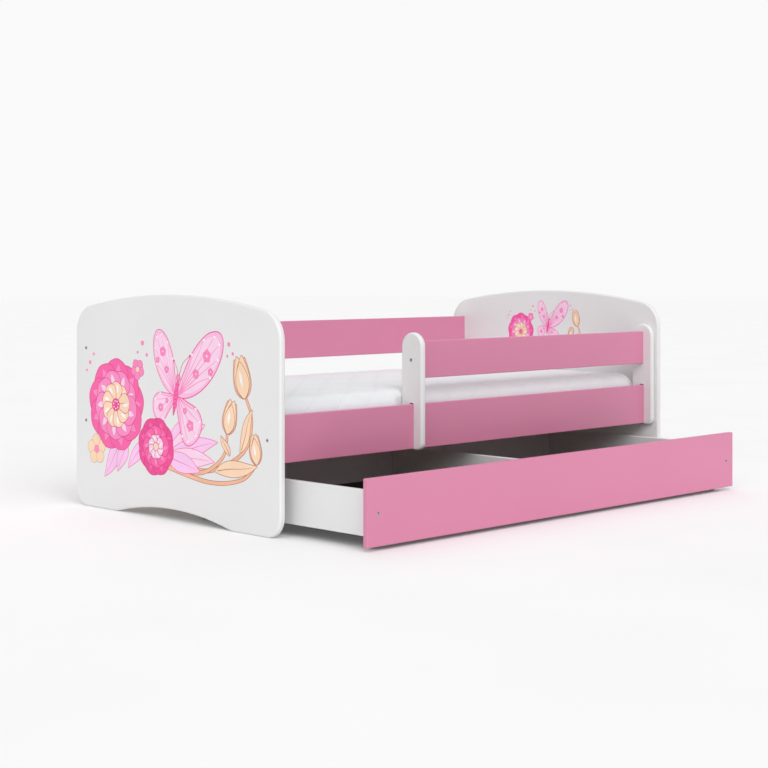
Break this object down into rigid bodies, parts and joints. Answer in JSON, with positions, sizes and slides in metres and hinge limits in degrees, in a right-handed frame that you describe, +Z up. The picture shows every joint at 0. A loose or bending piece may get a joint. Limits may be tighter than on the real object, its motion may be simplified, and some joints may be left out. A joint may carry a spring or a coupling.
{
  "type": "toddler bed",
  "caption": "Low toddler bed with arched end panels, a lift-off guard rail, a slatted base with mattress and a rolling storage drawer underneath.",
  "frame": {"origin": "on the floor, at the middle of the footprint that the bed and its part-open drawer cover together (the bed's own middle plane is at Y = +0.143 m)", "axes": "+X along the bed towards the end with the guard rail's far post, +Z up, -Y towards the side with the guard rail and the drawer"},
  "size_m": [1.64, 1.184, 0.613],
  "materials": {
    "white_board": "satin",
    "pink_board": "satin",
    "panel_print": "satin",
    "slat_wood": "matte",
    "hardboard": "satin",
    "mattress_cover": "matte",
    "slat_tape": "matte",
    "bolt_steel": "satin",
    "axle_steel": "satin",
    "dowel_wood": "matte",
    "castor_plastic": "matte",
    "wheel_plastic": "satin"
  },
  "bodies": {
    "frame": {"end_panel_left": "white_board", "end_panel_right": "white_board", "front_board": "pink_board", "back_board_low": "pink_board", "back_board_high": "pink_board", "cleat_front": "slat_wood", "cleat_back": "slat_wood", "slat_01": "slat_wood", "slat_02": "slat_wood", "slat_03": "slat_wood", "slat_04": "slat_wood", "slat_05": "slat_wood", "slat_06": "slat_wood", "slat_07": "slat_wood", "slat_08": "slat_wood", "slat_09": "slat_wood", "slat_10": "slat_wood", "slat_11": "slat_wood", "slat_12": "slat_wood", "slat_tape_front": "slat_tape", "slat_tape_back": "slat_tape", "mattress": "mattress_cover", "panel_bolts_left": "bolt_steel", "panel_bolts_right": "bolt_steel", "panel_dowels_left": "dowel_wood", "panel_dowels_right": "dowel_wood", "cleat_screws_front": "bolt_steel", "cleat_screws_back": "bolt_steel"},
    "guard_rail": {"guard_post_left": "white_board", "guard_post_right": "white_board", "guard_board": "pink_board", "guard_bolts": "bolt_steel", "guard_dowels": "dowel_wood"},
    "drawer": {"drawer_front": "pink_board", "drawer_side_left": "white_board", "drawer_side_right": "white_board", "drawer_divider": "white_board", "drawer_back": "white_board", "drawer_floor_left": "hardboard", "drawer_floor_right": "hardboard", "drawer_front_bolts": "bolt_steel", "drawer_dowels": "dowel_wood", "drawer_back_bolts": "bolt_steel", "castor_screws": "bolt_steel", "castor_housing_front_left": "castor_plastic", "castor_housing_front_right": "castor_plastic", "castor_housing_rear_left": "castor_plastic", "castor_housing_rear_right": "castor_plastic", "castor_axle_front_left": "axle_steel", "castor_axle_front_right": "axle_steel", "castor_axle_rear_left": "axle_steel", "castor_axle_rear_right": "axle_steel"},
    "wheel_front_left": {"castor_wheel_front_left": "wheel_plastic"},
    "wheel_front_right": {"castor_wheel_front_right": "wheel_plastic"},
    "wheel_rear_left": {"castor_wheel_rear_left": "wheel_plastic"},
    "wheel_rear_right": {"castor_wheel_rear_right": "wheel_plastic"}
  },
  "joints": [
    {"name": "drawer_slide", "type": "slide", "parent": "frame", "child": "drawer", "axis": [0, -1, 0], "range_m": [-0.3285, 0.45]},
    {"name": "guard_lift", "type": "slide", "parent": "frame", "child": "guard_rail", "axis": [0, 0, 1], "range_m": [0, 0.14]},
    {"name": "roll_front_left", "type": "hinge", "parent": "drawer", "child": "wheel_front_left", "pos_m": [-0.737, -0.551, 0.015], "axis": [1, 0, 0], "continuous": true},
    {"name": "roll_front_right", "type": "hinge", "parent": "drawer", "child": "wheel_front_right", "pos_m": [0.737, -0.551, 0.015], "axis": [1, 0, 0], "continuous": true},
    {"name": "roll_rear_left", "type": "hinge", "parent": "drawer", "child": "wheel_rear_left", "pos_m": [-0.737, 0.092, 0.015], "axis": [1, 0, 0], "continuous": true},
    {"name": "roll_rear_right", "type": "hinge", "parent": "drawer", "child": "wheel_rear_right", "pos_m": [0.737, 0.092, 0.015], "axis": [1, 0, 0], "continuous": true}
  ],
  "couplings": [
    {"joint": "roll_front_left", "follows": "drawer_slide", "rad_per_m": 66.667},
    {"joint": "roll_front_right", "follows": "drawer_slide", "rad_per_m": 66.667},
    {"joint": "roll_rear_left", "follows": "drawer_slide", "rad_per_m": 66.667},
    {"joint": "roll_rear_right", "follows": "drawer_slide", "rad_per_m": 66.667}
  ]
}
